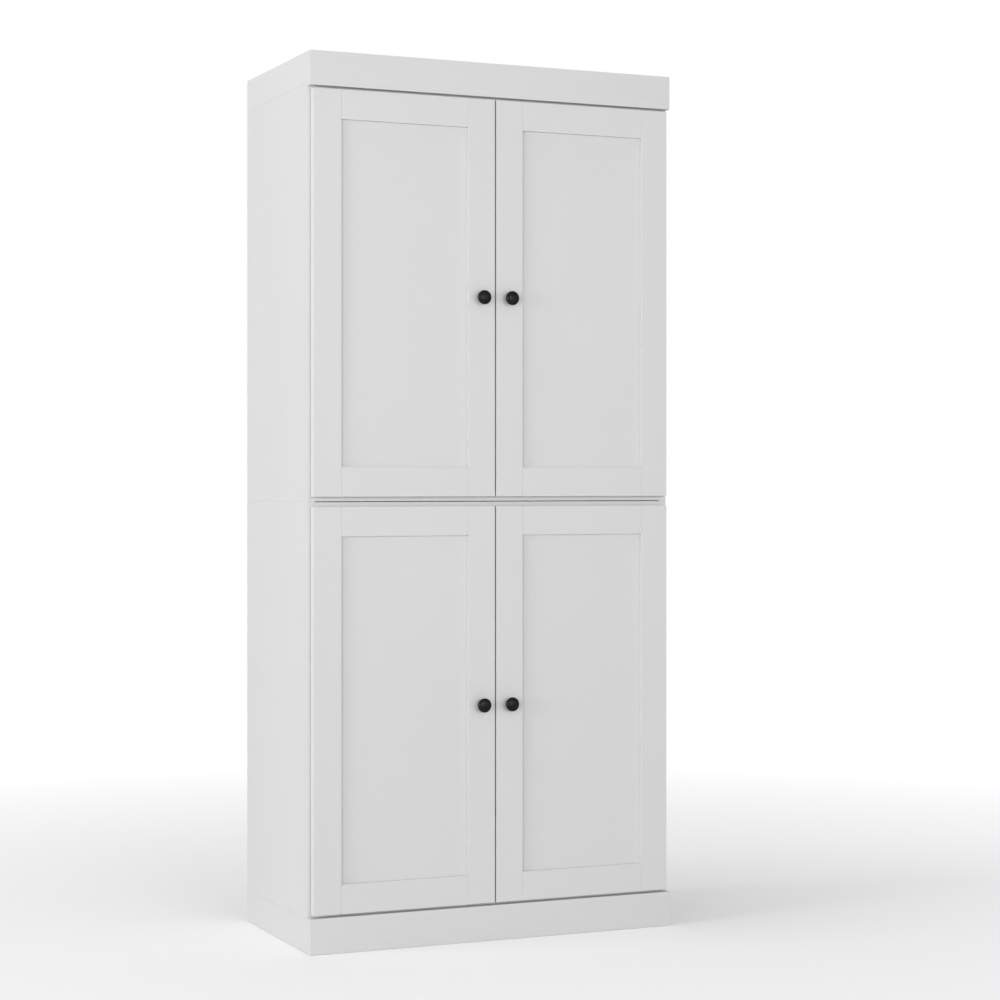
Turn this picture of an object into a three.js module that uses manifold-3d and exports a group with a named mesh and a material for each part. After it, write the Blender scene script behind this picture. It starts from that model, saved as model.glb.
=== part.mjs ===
// A tall free-standing pantry cabinet: two stacked cases on a base frame, topped by a crown frame,
// closed by four framed doors on concealed single-pivot cup hinges, with two shelves in each case.
//
// Millimetres. +Z is up, +X is to the right and -Y is to the front, seen from the front.
// The origin is on the floor, below the middle of the whole object, knobs included.

import * as THREE from 'three';
import { mergeVertices } from 'three/addons/utils/BufferGeometryUtils.js';
import Module from 'manifold-3d';

const wasm = await Module();
wasm.setup();

// ---------------------------------------------------------------- driving dimensions

// The cabinet as a whole
const WIDTH = 800;
const HEIGHT = 1790;
const BODY_DEPTH = 408; // from the face of the base and crown boards to the back

// Boards
const CASE_BOARD = 16; // sides, tops, bottoms, shelves and the returns of base and crown
const FRONT_BOARD = 18; // the front boards of base and crown
const FRONT_LAP = 4.5; // how far a front board covers the front edges of the case

// Base and crown
const BASE_HEIGHT = 67;
const CROWN_HEIGHT = 64;

// Cases
const STACK_RELIEF = 0.75; // top and bottom panels stay this far inside the ends of the side panels
const BACK_THICKNESS = 3;
const BACK_GROOVE = { width: 3.4, depth: 6, fromRear: 12 };
const BACK_CLEARANCE = 1; // between the back panel's edge and the bottom of its groove

// Shelves and the holes for their pins
const SHELF_UNDERSIDES = [271, 542]; // above the foot of the case
const SHELF_SETBACK = 20; // behind the front edge of the case
const SHELF_CLEARANCE = 1; // to each side panel
const SHELF_BACK_CLEARANCE = 2;
const PIN_HOLE = { radius: 2.5, depth: 10, pitch: 32, below: 2.5 };
const PIN_ROW_FROM_FRONT = 37;
const PIN_ROW_FROM_REAR = 66;
const PIN_STEPS = [-1, 0, 1]; // one spare hole below and one above each shelf's own hole

// Doors
const SIDE_REVEAL = 7; // case edge left showing beside a door
const END_REVEAL = 10; // case edge left showing above and below a door
const CENTRE_GAP = 3;
const DOOR_TO_CASE = 1.5; // behind a closed door
const DOOR_THICKNESS = 16;
const FRAME_WIDTH = 59; // stiles and rails
const PANEL_RECESS = 7.5;
const PANEL_THICKNESS = 6;
const PANEL_GROOVE = { width: 6.3, depth: 9 };
const PANEL_CLEARANCE = 1; // between the panel's edge and the bottom of its groove
const TENON = { length: 8, thickness: 5.9 };
const SEAM = 0.1; // hairline between a rail and a stile
const HINGE_EDGE_EASE = 1; // the back corner of the hinge stile, which turns past the case

// Knobs
const KNOB = {
  projection: 22,
  headRadius: 14.5,
  headThickness: 11,
  footRadius: 7.5,
  footThickness: 1.4,
  neckRadius: 4.4,
  undercut: 0.72, // where the neck meets the underside of the head, as a share of its radius
};

// Hinges. Each is drawn round the door's hinge edge: x runs along the door from that edge,
// and y runs back into the cabinet from the door's back face, so that inside the door y is negative.
const HINGE_FROM_DOOR_END = 100;
const PIVOT = { x: 5.8, y: -9.5 };
const PIN = { radius: 1, length: 14.5 };
const BARREL_RADIUS = 2;
const RUNNING_GAP = 0.3; // round the pin, and beside the barrel
const CUP = {
  boreRadius: 17.5,
  boreDepth: 13.1,
  radius: 17.2,
  depth: 12.8,
  wall: 1,
  edgeDistance: 3, // wood left between the bore and the door's edge
};
const CUP_FLANGE = {
  thickness: 1,
  width: 24,
  length: 62,
  offset: 9.5, // from the cup's centre, away from the door's edge
  cornerRadius: 8,
  seatGap: 0.1, // between the flange and the door's back face
};
const STRAP = {
  thickness: 1.2,
  width: 8,
  bendRadius: 11.6, // the gooseneck's bend, centred on the pivot
  startAngle: 96.4, // degrees from straight back towards the middle of the door
  endAngle: 58,
};
const ARM = { front: 8, footFrom: 20, rear: 60, width: 14, height: 6.5, standOff: 2 };
const PLATE = { thickness: 2, width: 11, length: 56, fromCaseFront: 37 };

// Facets
const KNOB_FACETS = 24;
const KNOB_CURVE_STEPS = 3;
const CUP_FACETS = 32;
const PIN_FACETS = 12;
const HOLE_FACETS = 10;
const CORNER_STEPS = 3;
const BEND_STEPS = 6;
const NOTHING = 1; // how far a cutter runs past the face that it cuts

// ---------------------------------------------------------------- worked-out dimensions

const HALF_WIDTH = WIDTH / 2;
const PROUD = DOOR_TO_CASE + DOOR_THICKNESS - FRONT_BOARD + KNOB.projection; // knob tips before the crown
const FRONT_Y = PROUD - (BODY_DEPTH + PROUD) / 2;
const BACK_Y = FRONT_Y + BODY_DEPTH;
const CASE_FRONT_Y = FRONT_Y + FRONT_BOARD;
const DOOR_BACK_Y = CASE_FRONT_Y - DOOR_TO_CASE;
const CASE_HEIGHT = (HEIGHT - BASE_HEIGHT - CROWN_HEIGHT) / 2;
const INNER_X = HALF_WIDTH - CASE_BOARD;
const GROOVE_Y = BACK_Y - BACK_GROOVE.fromRear - BACK_GROOVE.width; // front wall of the back's groove
const DOOR_WIDTH = (WIDTH - 2 * SIDE_REVEAL - CENTRE_GAP) / 2;
const DOOR_HEIGHT = CASE_HEIGHT - 2 * END_REVEAL;
const SIDE_INNER_FACE = CASE_BOARD - SIDE_REVEAL; // from the door's hinge edge, in hinge coordinates
const CUP_CENTRE = CUP.edgeDistance + CUP.boreRadius;

// ---------------------------------------------------------------- materials

function paint(color, roughness = 0.5) {
  return new THREE.MeshStandardMaterial({ color, roughness, metalness: 0 });
}

function metal(color, roughness) {
  return new THREE.MeshStandardMaterial({ color, roughness, metalness: 1 });
}

const boardMaterial = () => paint(0xf4f4f3, 0.45);
const hardboardMaterial = () => paint(0xefefec, 0.6);
const knobMaterial = () => paint(0x1c1c1c, 0.45);
const steelMaterial = () => metal(0xc4c6c8, 0.3);

// ---------------------------------------------------------------- geometry helpers

// A box between two corners.
function box([x0, y0, z0], [x1, y1, z1]) {
  const geometry = new THREE.BoxGeometry(x1 - x0, y1 - y0, z1 - z0);
  return geometry.translate((x0 + x1) / 2, (y0 + y1) / 2, (z0 + z1) / 2);
}

// A straight round bar from one centre along an axis.
function bar(radius, length, [x, y, z], axis, facets) {
  const geometry = new THREE.CylinderGeometry(radius, radius, length, facets);
  if (axis === 'x') geometry.rotateZ(Math.PI / 2);
  if (axis === 'z') geometry.rotateX(Math.PI / 2);
  return geometry.translate(x, y, z);
}

// A closed outline in X and Y, drawn up along Z.
function drawnUp(points, z0, z1) {
  const shape = new THREE.Shape(points.map(([x, y]) => new THREE.Vector2(x, y)));
  const geometry = new THREE.ExtrudeGeometry(shape, { depth: z1 - z0, bevelEnabled: false });
  return geometry.translate(0, 0, z0);
}

function solidOf(geometry) {
  const bare = geometry.clone();
  bare.deleteAttribute('normal');
  bare.deleteAttribute('uv');
  const merged = mergeVertices(bare);
  return new wasm.Manifold(new wasm.Mesh({
    numProp: 3,
    vertProperties: new Float32Array(merged.attributes.position.array),
    triVerts: new Uint32Array(merged.index.array),
  }));
}

function geometryOf(solid) {
  const mesh = solid.getMesh();
  const geometry = new THREE.BufferGeometry();
  geometry.setAttribute('position', new THREE.BufferAttribute(mesh.vertProperties, 3));
  geometry.setIndex(new THREE.BufferAttribute(mesh.triVerts, 1));
  geometry.computeVertexNormals();
  return geometry;
}

function cut(geometry, ...tools) {
  let solid = solidOf(geometry);
  for (const tool of tools) solid = solid.subtract(solidOf(tool));
  return geometryOf(solid);
}

function join(geometry, ...others) {
  let solid = solidOf(geometry);
  for (const other of others) solid = solid.add(solidOf(other));
  return geometryOf(solid);
}

// The same piece for the other hand: x becomes -x, and each triangle is turned over.
function mirrored(geometry) {
  const flipped = geometry.index ? geometry.toNonIndexed() : geometry.clone();
  const positions = flipped.attributes.position;
  const a = new THREE.Vector3();
  const b = new THREE.Vector3();
  for (let i = 0; i < positions.count; i += 3) {
    a.fromBufferAttribute(positions, i + 1);
    b.fromBufferAttribute(positions, i + 2);
    positions.setXYZ(i + 1, b.x, b.y, b.z);
    positions.setXYZ(i + 2, a.x, a.y, a.z);
  }
  flipped.scale(-1, 1, 1);
  flipped.computeVertexNormals();
  return flipped;
}

function add(parent, name, geometry, material) {
  const mesh = new THREE.Mesh(geometry, material);
  mesh.name = name;
  parent.add(mesh);
}

// Adds a piece drawn for the left-hand side, or its mirror image for the right-hand side.
function addHanded(parent, side, name, geometry, material) {
  add(parent, name, side === 'left' ? geometry : mirrored(geometry), material);
}

// ---------------------------------------------------------------- base and crown

// Two side returns stand on z0..z1, and the front board in front of them also laps over the case.
function frameBoards(name, z0, z1, frontZ0, frontZ1) {
  const frame = new THREE.Group();
  const front = box([-HALF_WIDTH, FRONT_Y, frontZ0], [HALF_WIDTH, CASE_FRONT_Y, frontZ1]);
  add(frame, `${name}_front_board`, front, boardMaterial());
  for (const side of ['left', 'right']) {
    const sideReturn = box([-HALF_WIDTH, CASE_FRONT_Y, z0], [-INNER_X, BACK_Y, z1]);
    addHanded(frame, side, `${name}_${side}_return`, sideReturn, boardMaterial());
  }
  return frame;
}

function base() {
  return frameBoards('base', 0, BASE_HEIGHT, 0, BASE_HEIGHT + FRONT_LAP);
}

function crown() {
  const foot = HEIGHT - CROWN_HEIGHT;
  return frameBoards('crown', foot, HEIGHT, foot - FRONT_LAP, HEIGHT);
}

// ---------------------------------------------------------------- cases

// A long cutter for the groove that takes the back panel, over the given x and z spans.
function grooveCutter([x0, x1], [z0, z1]) {
  return box([x0, GROOVE_Y, z0], [x1, GROOVE_Y + BACK_GROOVE.width, z1]);
}

function pinHoleCutters() {
  const cutters = [];
  const rows = [CASE_FRONT_Y + PIN_ROW_FROM_FRONT, BACK_Y - PIN_ROW_FROM_REAR];
  const x = -INNER_X - PIN_HOLE.depth / 2 + NOTHING / 2;
  for (const underside of SHELF_UNDERSIDES) {
    for (const step of PIN_STEPS) {
      const z = underside - PIN_HOLE.below + step * PIN_HOLE.pitch;
      for (const y of rows) {
        cutters.push(bar(PIN_HOLE.radius, PIN_HOLE.depth + NOTHING, [x, y, z], 'x', HOLE_FACETS));
      }
    }
  }
  return cutters;
}

function sidePanel() {
  const board = box([-HALF_WIDTH, CASE_FRONT_Y, 0], [-INNER_X, BACK_Y, CASE_HEIGHT]);
  const groove = grooveCutter(
    [-INNER_X - BACK_GROOVE.depth, -INNER_X + NOTHING],
    [-NOTHING, CASE_HEIGHT + NOTHING],
  );
  return cut(board, groove, ...pinHoleCutters());
}

function bottomPanel() {
  const z1 = STACK_RELIEF + CASE_BOARD;
  const board = box([-INNER_X, CASE_FRONT_Y, STACK_RELIEF], [INNER_X, BACK_Y, z1]);
  return cut(board, grooveCutter([-HALF_WIDTH, HALF_WIDTH], [z1 - BACK_GROOVE.depth, z1 + NOTHING]));
}

function topPanel() {
  const z1 = CASE_HEIGHT - STACK_RELIEF;
  const z0 = z1 - CASE_BOARD;
  const board = box([-INNER_X, CASE_FRONT_Y, z0], [INNER_X, BACK_Y, z1]);
  return cut(board, grooveCutter([-HALF_WIDTH, HALF_WIDTH], [z0 - NOTHING, z0 + BACK_GROOVE.depth]));
}

function backPanel() {
  const reach = BACK_GROOVE.depth - BACK_CLEARANCE;
  const y0 = GROOVE_Y + (BACK_GROOVE.width - BACK_THICKNESS) / 2;
  const inset = STACK_RELIEF + CASE_BOARD - reach;
  return box(
    [-INNER_X - reach, y0, inset],
    [INNER_X + reach, y0 + BACK_THICKNESS, CASE_HEIGHT - inset],
  );
}

function shelf(underside) {
  const halfLength = INNER_X - SHELF_CLEARANCE;
  return box(
    [-halfLength, CASE_FRONT_Y + SHELF_SETBACK, underside],
    [halfLength, GROOVE_Y - SHELF_BACK_CLEARANCE, underside + CASE_BOARD],
  );
}

function caseBoards(level, footZ) {
  const boards = new THREE.Group();
  boards.position.z = footZ;
  for (const side of ['left', 'right']) {
    addHanded(boards, side, `${level}_${side}_side_panel`, sidePanel(), boardMaterial());
  }
  add(boards, `${level}_bottom_panel`, bottomPanel(), boardMaterial());
  add(boards, `${level}_top_panel`, topPanel(), boardMaterial());
  add(boards, `${level}_back_panel`, backPanel(), hardboardMaterial());
  SHELF_UNDERSIDES.forEach((underside, i) => {
    add(boards, `${level}_shelf_${i + 1}`, shelf(underside), boardMaterial());
  });
  return boards;
}

// ---------------------------------------------------------------- doors
// A door is drawn left-handed: x runs from its hinge edge, y = 0 is its back face, and z = 0 is its
// mid-height.

const HALF_DOOR = DOOR_HEIGHT / 2;
const GROOVE_FRONT = PANEL_RECESS - (PANEL_GROOVE.width - PANEL_THICKNESS) / 2 - DOOR_THICKNESS;
const GROOVE_REAR = GROOVE_FRONT + PANEL_GROOVE.width;
const RAIL_SPAN = [FRAME_WIDTH + SEAM, DOOR_WIDTH - FRAME_WIDTH - SEAM];
const HINGE_HEIGHTS = {
  top: HALF_DOOR - HINGE_FROM_DOOR_END,
  bottom: HINGE_FROM_DOOR_END - HALF_DOOR,
};

function cupBore(z) {
  const length = CUP.boreDepth + NOTHING;
  return bar(CUP.boreRadius, length, [CUP_CENTRE, NOTHING - length / 2, z], 'y', CUP_FACETS);
}

function hingeStile() {
  const outline = [
    [0, -DOOR_THICKNESS],
    [FRAME_WIDTH, -DOOR_THICKNESS],
    [FRAME_WIDTH, GROOVE_FRONT],
    [FRAME_WIDTH - PANEL_GROOVE.depth, GROOVE_FRONT],
    [FRAME_WIDTH - PANEL_GROOVE.depth, GROOVE_REAR],
    [FRAME_WIDTH, GROOVE_REAR],
    [FRAME_WIDTH, 0],
    [HINGE_EDGE_EASE, 0],
    [0, -HINGE_EDGE_EASE],
  ];
  return cut(drawnUp(outline, -HALF_DOOR, HALF_DOOR), ...Object.values(HINGE_HEIGHTS).map(cupBore));
}

function meetingStile() {
  const inner = DOOR_WIDTH - FRAME_WIDTH;
  const outline = [
    [inner, -DOOR_THICKNESS],
    [DOOR_WIDTH, -DOOR_THICKNESS],
    [DOOR_WIDTH, 0],
    [inner, 0],
    [inner, GROOVE_REAR],
    [inner + PANEL_GROOVE.depth, GROOVE_REAR],
    [inner + PANEL_GROOVE.depth, GROOVE_FRONT],
    [inner, GROOVE_FRONT],
  ];
  return drawnUp(outline, -HALF_DOOR, HALF_DOOR);
}

// A rail between the stiles, with a groove for the panel and a stub tenon at each end.
// end is +1 for the top rail and -1 for the bottom rail.
function rail(end) {
  const [x0, x1] = RAIL_SPAN;
  const outerZ = end * HALF_DOOR;
  const innerZ = end * (HALF_DOOR - FRAME_WIDTH);
  const grooveZ = innerZ + end * PANEL_GROOVE.depth;
  const tenonMiddle = (GROOVE_FRONT + GROOVE_REAR) / 2;
  const span = (a, b) => [Math.min(a, b), Math.max(a, b)];
  const block = (xs, ys, zs) => box([xs[0], ys[0], zs[0]], [xs[1], ys[1], zs[1]]);
  const body = block([x0, x1], [-DOOR_THICKNESS, 0], span(outerZ, innerZ));
  const tenons = block(
    [x0 - TENON.length, x1 + TENON.length],
    [tenonMiddle - TENON.thickness / 2, tenonMiddle + TENON.thickness / 2],
    span(outerZ, innerZ),
  );
  const groove = block(
    [x0 - TENON.length - NOTHING, x1 + TENON.length + NOTHING],
    [GROOVE_FRONT, GROOVE_REAR],
    span(innerZ - end * NOTHING, grooveZ),
  );
  return cut(join(body, tenons), groove);
}

function doorPanel() {
  const reach = PANEL_GROOVE.depth - PANEL_CLEARANCE;
  const y0 = PANEL_RECESS - DOOR_THICKNESS;
  const halfHeight = HALF_DOOR - FRAME_WIDTH + reach;
  return box(
    [FRAME_WIDTH - reach, y0, -halfHeight],
    [DOOR_WIDTH - FRAME_WIDTH + reach, y0 + PANEL_THICKNESS, halfHeight],
  );
}

// A turned knob on the front face: a thin foot, a waisted neck and a rounded mushroom head.
function knob() {
  const headBack = KNOB.projection - KNOB.headThickness;
  const headMiddle = KNOB.projection - KNOB.headThickness / 2;
  const profile = new THREE.Path();
  profile.moveTo(0, 0);
  profile.lineTo(KNOB.footRadius, 0);
  profile.lineTo(KNOB.footRadius, KNOB.footThickness);
  profile.bezierCurveTo(
    KNOB.neckRadius,
    KNOB.footThickness,
    KNOB.neckRadius,
    headBack,
    KNOB.headRadius * KNOB.undercut,
    headBack + KNOB.footThickness,
  );
  profile.quadraticCurveTo(KNOB.headRadius, headBack + KNOB.footThickness, KNOB.headRadius, headMiddle);
  profile.absellipse(0, headMiddle, KNOB.headRadius, KNOB.headThickness / 2, 0, Math.PI / 2, false);
  const points = profile.getPoints(KNOB_CURVE_STEPS);
  points[points.length - 1].x = 0;
  const turned = new THREE.LatheGeometry(points, KNOB_FACETS);
  turned.rotateX(Math.PI);
  return turned.translate(DOOR_WIDTH - FRAME_WIDTH / 2, -DOOR_THICKNESS, 0);
}

// ---------------------------------------------------------------- hinges
// Drawn left-handed in the same x and y as the door, with z = 0 at the hinge's own mid-height.

function roundedPlate(halfX, halfZ, radius) {
  const shape = new THREE.Shape();
  shape.moveTo(-halfX + radius, -halfZ);
  shape.lineTo(halfX - radius, -halfZ);
  shape.absarc(halfX - radius, -halfZ + radius, radius, -Math.PI / 2, 0, false);
  shape.lineTo(halfX, halfZ - radius);
  shape.absarc(halfX - radius, halfZ - radius, radius, 0, Math.PI / 2, false);
  shape.lineTo(-halfX + radius, halfZ);
  shape.absarc(-halfX + radius, halfZ - radius, radius, Math.PI / 2, Math.PI, false);
  shape.lineTo(-halfX, -halfZ + radius);
  shape.absarc(-halfX + radius, -halfZ + radius, radius, Math.PI, 1.5 * Math.PI, false);
  return shape;
}

// The screw flange, lying just off the door's back face.
function cupFlange() {
  const outline = roundedPlate(CUP_FLANGE.width / 2, CUP_FLANGE.length / 2, CUP_FLANGE.cornerRadius);
  const flange = new THREE.ExtrudeGeometry(outline, {
    depth: CUP_FLANGE.thickness,
    bevelEnabled: false,
    curveSegments: CORNER_STEPS,
  });
  flange.rotateX(Math.PI / 2);
  const farFace = CUP_FLANGE.seatGap + CUP_FLANGE.thickness;
  return flange.translate(CUP_CENTRE + CUP_FLANGE.offset, farFace, 0);
}

// The cup pressed into the door, with its flange. Its wall next to the door's edge is notched so
// that the arm can swing over it, and the pin crosses the notch.
function hingeCup() {
  const innerRadius = CUP.radius - CUP.wall;
  const floorY = -CUP.depth + CUP.wall;
  const rimY = CUP_FLANGE.seatGap + CUP_FLANGE.thickness;
  const bodyLength = CUP.depth + rimY;
  const body = bar(CUP.radius, bodyLength, [CUP_CENTRE, rimY - bodyLength / 2, 0], 'y', CUP_FACETS);
  const hollowLength = rimY + NOTHING - floorY;
  const hollowMiddle = floorY + hollowLength / 2;
  const hollow = bar(innerRadius, hollowLength, [CUP_CENTRE, hollowMiddle, 0], 'y', CUP_FACETS);
  const flangeEdge = CUP_CENTRE + CUP_FLANGE.offset - CUP_FLANGE.width / 2;
  const lowRim = box([0, 0, -CUP.radius], [flangeEdge, rimY + NOTHING, CUP.radius]);
  const notchHalf = STRAP.width / 2 + 2 * RUNNING_GAP;
  const notch = box([0, floorY, -notchHalf], [PIVOT.x, NOTHING, notchHalf]);
  const pin = bar(PIN.radius, PIN.length, [PIVOT.x, PIVOT.y, 0], 'z', PIN_FACETS);
  return join(cut(join(body, cupFlange()), hollow, lowRim, notch), pin);
}

// A point at a distance from the pivot. The angle is measured from straight back into the cabinet
// towards the middle of the door.
function fromPivot(radius, degrees) {
  const angle = THREE.MathUtils.degToRad(degrees);
  return new THREE.Vector2(PIVOT.x + radius * Math.sin(angle), PIVOT.y + radius * Math.cos(angle));
}

// The middle line of the gooseneck: out along the cup's floor, round the pivot, and back out of the
// cup into the arm.
function gooseneckLine() {
  const line = [new THREE.Vector2(PIVOT.x, PIVOT.y)];
  for (let i = 0; i <= BEND_STEPS; i += 1) {
    const angle = THREE.MathUtils.lerp(STRAP.startAngle, STRAP.endAngle, i / BEND_STEPS);
    line.push(fromPivot(STRAP.bendRadius, angle));
  }
  const last = line[line.length - 1];
  line.push(new THREE.Vector2(last.x, ARM.front + NOTHING));
  return line;
}

// The outline of a strap of even thickness along a line of points.
function strapOutline(line, thickness) {
  const left = [];
  const right = [];
  line.forEach((point, i) => {
    const before = line[Math.max(i - 1, 0)];
    const after = line[Math.min(i + 1, line.length - 1)];
    const across = after.clone().sub(before).normalize().rotateAround(new THREE.Vector2(), Math.PI / 2);
    left.push(point.clone().addScaledVector(across, thickness / 2));
    right.unshift(point.clone().addScaledVector(across, -thickness / 2));
  });
  return [...left, ...right].map((p) => [p.x, p.y]);
}

// The arm on the case side: a barrel round the pin, the gooseneck, a channel along the side panel
// and a winged plate screwed to it.
function hingeArm() {
  const half = STRAP.width / 2;
  const strap = drawnUp(strapOutline(gooseneckLine(), STRAP.thickness), -half, half);
  const barrel = bar(BARREL_RADIUS, STRAP.width, [PIVOT.x, PIVOT.y, 0], 'z', PIN_FACETS);
  const holeRadius = PIN.radius + RUNNING_GAP;
  const pinHole = bar(holeRadius, STRAP.width + NOTHING, [PIVOT.x, PIVOT.y, 0], 'z', PIN_FACETS);
  const channelX = SIDE_INNER_FACE + ARM.standOff;
  const channel = box(
    [channelX, ARM.front, -ARM.width / 2],
    [channelX + ARM.height, ARM.rear, ARM.width / 2],
  );
  const plateMiddle = DOOR_TO_CASE + PLATE.fromCaseFront;
  const wings = box(
    [SIDE_INNER_FACE, plateMiddle - PLATE.width / 2, -PLATE.length / 2],
    [SIDE_INNER_FACE + PLATE.thickness, plateMiddle + PLATE.width / 2, PLATE.length / 2],
  );
  const foot = box(
    [SIDE_INNER_FACE, ARM.footFrom, -ARM.width / 2],
    [channelX + NOTHING, ARM.rear, ARM.width / 2],
  );
  return cut(join(strap, barrel, channel, wings, foot), pinHole);
}

// ---------------------------------------------------------------- the four doors with their hinges

function door(level, side, footZ) {
  const name = `${level}_${side}`;
  const group = new THREE.Group();
  const hingeEdge = HALF_WIDTH - SIDE_REVEAL;
  group.position.set(side === 'left' ? -hingeEdge : hingeEdge, DOOR_BACK_Y, footZ + CASE_HEIGHT / 2);
  addHanded(group, side, `${name}_door_hinge_stile`, hingeStile(), boardMaterial());
  addHanded(group, side, `${name}_door_meeting_stile`, meetingStile(), boardMaterial());
  addHanded(group, side, `${name}_door_top_rail`, rail(1), boardMaterial());
  addHanded(group, side, `${name}_door_bottom_rail`, rail(-1), boardMaterial());
  addHanded(group, side, `${name}_door_panel`, doorPanel(), boardMaterial());
  addHanded(group, side, `${name}_door_knob`, knob(), knobMaterial());
  for (const [place, z] of Object.entries(HINGE_HEIGHTS)) {
    const cup = hingeCup().translate(0, 0, z);
    const arm = hingeArm().translate(0, 0, z);
    addHanded(group, side, `${name}_${place}_hinge_cup`, cup, steelMaterial());
    addHanded(group, side, `${name}_${place}_hinge_arm`, arm, steelMaterial());
  }
  return group;
}

// ---------------------------------------------------------------- the whole cabinet

const cabinet = new THREE.Group();
cabinet.add(base());
cabinet.add(crown());
const caseFeet = { lower: BASE_HEIGHT, upper: BASE_HEIGHT + CASE_HEIGHT };
for (const [level, footZ] of Object.entries(caseFeet)) {
  cabinet.add(caseBoards(level, footZ));
  for (const side of ['left', 'right']) {
    cabinet.add(door(level, side, footZ));
  }
}

export default cabinet;
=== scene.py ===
import math

import bmesh
import bpy
from mathutils import Matrix, Vector


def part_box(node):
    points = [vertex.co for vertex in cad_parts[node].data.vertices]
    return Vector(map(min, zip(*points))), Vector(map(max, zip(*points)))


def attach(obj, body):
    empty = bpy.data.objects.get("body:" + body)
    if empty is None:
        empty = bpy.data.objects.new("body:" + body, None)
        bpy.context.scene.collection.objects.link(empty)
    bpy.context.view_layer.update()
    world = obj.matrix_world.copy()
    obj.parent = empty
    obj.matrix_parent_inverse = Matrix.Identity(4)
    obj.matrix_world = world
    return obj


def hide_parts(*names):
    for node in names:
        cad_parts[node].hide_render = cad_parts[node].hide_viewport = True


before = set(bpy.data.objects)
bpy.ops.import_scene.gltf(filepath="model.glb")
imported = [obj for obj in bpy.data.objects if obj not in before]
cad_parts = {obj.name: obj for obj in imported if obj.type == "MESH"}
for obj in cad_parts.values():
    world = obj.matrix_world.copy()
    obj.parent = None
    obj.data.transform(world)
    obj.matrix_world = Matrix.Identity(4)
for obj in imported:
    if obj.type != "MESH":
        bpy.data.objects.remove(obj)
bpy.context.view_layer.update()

# The looks of a white pantry cabinet: its boards, doors, knobs, hinges and small fittings, and the
# studio round it. Everything is in metres, with +Z up and the front of the cabinet facing -Y.

MM = 0.001
LEVELS = ("lower", "upper")
SIDES = ("left", "right")
HINGE_PLACES = ("top", "bottom")
HAND = {"left": 1, "right": -1}  # which way is inwards, along X

# ---------------------------------------------------------------- sizes

# Softened edges: their widths, the turn from which an edge counts as sharp, and the distance within
# which the CAD's corners are joined before that
CASE_EDGE = 0.35 * MM
DOOR_EDGE = 0.45 * MM
SHELF_EDGE = 0.8 * MM
BACK_EDGE = 0.3 * MM
STEEL_EDGE = 0.3 * MM
BOARD_SHARP_FROM = math.radians(60)
STEEL_SHARP_FROM = math.radians(50)
BOARD_WELD = 0.01 * MM
STEEL_WELD = 0.005 * MM

# Knobs, measured from the face of the door
KNOB_FOOT_RADIUS = 7.5 * MM
KNOB_FOOT_THICKNESS = 1.4 * MM
KNOB_NECK_RADIUS = 4.6 * MM
KNOB_NECK_FROM = 5.5 * MM
KNOB_NECK_LENGTH = 2.5 * MM
KNOB_NECK_SPREAD = 1.4 * MM  # how much wider the neck is at the foot
KNOB_NECK_WAIST = 0.4 * MM  # how far the neck draws in, and opens again towards the head
KNOB_NECK_FILLET = 1.2 * MM  # the height within which it narrows above the foot
KNOB_FLARE = 1.2 * MM  # how much wider than the waist it is where it runs into the head
KNOB_HEAD_FROM = 9.5 * MM
KNOB_FOOT_EDGE = 0.5 * MM
KNOB_UNDERSIDE_DROP = 1 * MM
KNOB_CURVE_STEPS = 12
KNOB_DOME_STEPS = 24
KNOB_SEGMENTS = 96
KNOB_CREASE = 50  # degrees

# Shelf pins
PIN_RADIUS = 2.45 * MM
PIN_IN_WOOD = 9 * MM
PIN_SHOWING = 8 * MM
PIN_COLLAR_RADIUS = 3.6 * MM
PIN_COLLAR_THICKNESS = 0.9 * MM
PIN_NOSE_EDGE = 0.8 * MM
PIN_COLLAR_EDGE = 0.3 * MM
PIN_BELOW_SHELF = 2.5 * MM
PIN_FROM_CASE_FRONT = 37 * MM
PIN_FROM_CASE_REAR = 66 * MM
PIN_SEGMENTS = 32

# Hinges, in the hinge's own directions: x runs inwards from the door's hinge edge, y runs back from
# the door's back face, and z is up from the hinge's mid-height
FLANGE_FACE_Y = 1.1 * MM
FLANGE_SCREW_X = 30 * MM
FLANGE_SCREW_Z = 22.5 * MM
WING_FACE_X = 11 * MM
WING_SCREW_Y = 38.5 * MM
WING_SCREW_Z = 20 * MM
ARM_FACE_X = 17.5 * MM
ARM_SCREW_YS = (17 * MM, 47 * MM)
ARM_SLOT_WIDTH = 8.4 * MM
ARM_SLOT_LENGTH = 15 * MM
ARM_SLOT_DEPTH = 1.5 * MM
ARM_SLOT_STEPS = 12

# Screws and cams: the head's radius and height. A cross recess is made of two bars, given as half
# their length and half their width in shares of the head's radius.
SMALL_SCREW = (3.5 * MM, 1.3 * MM)
LARGE_SCREW = (4.6 * MM, 1.9 * MM)
CAM_HEAD = (7.5 * MM, 0.5 * MM)
SCREW_SHANK = 0.5  # of the head's radius
SCREW_RIM = 0.12  # of the head's height
SCREW_RECESS = (0.55, 0.11)
SCREW_RECESS_FLOOR = 0.3  # of the head's height
CAM_RECESS = (0.5, 0.12)
RECESS_EDGE = 0.02 * MM
FITTING_SEGMENTS = 40

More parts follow.
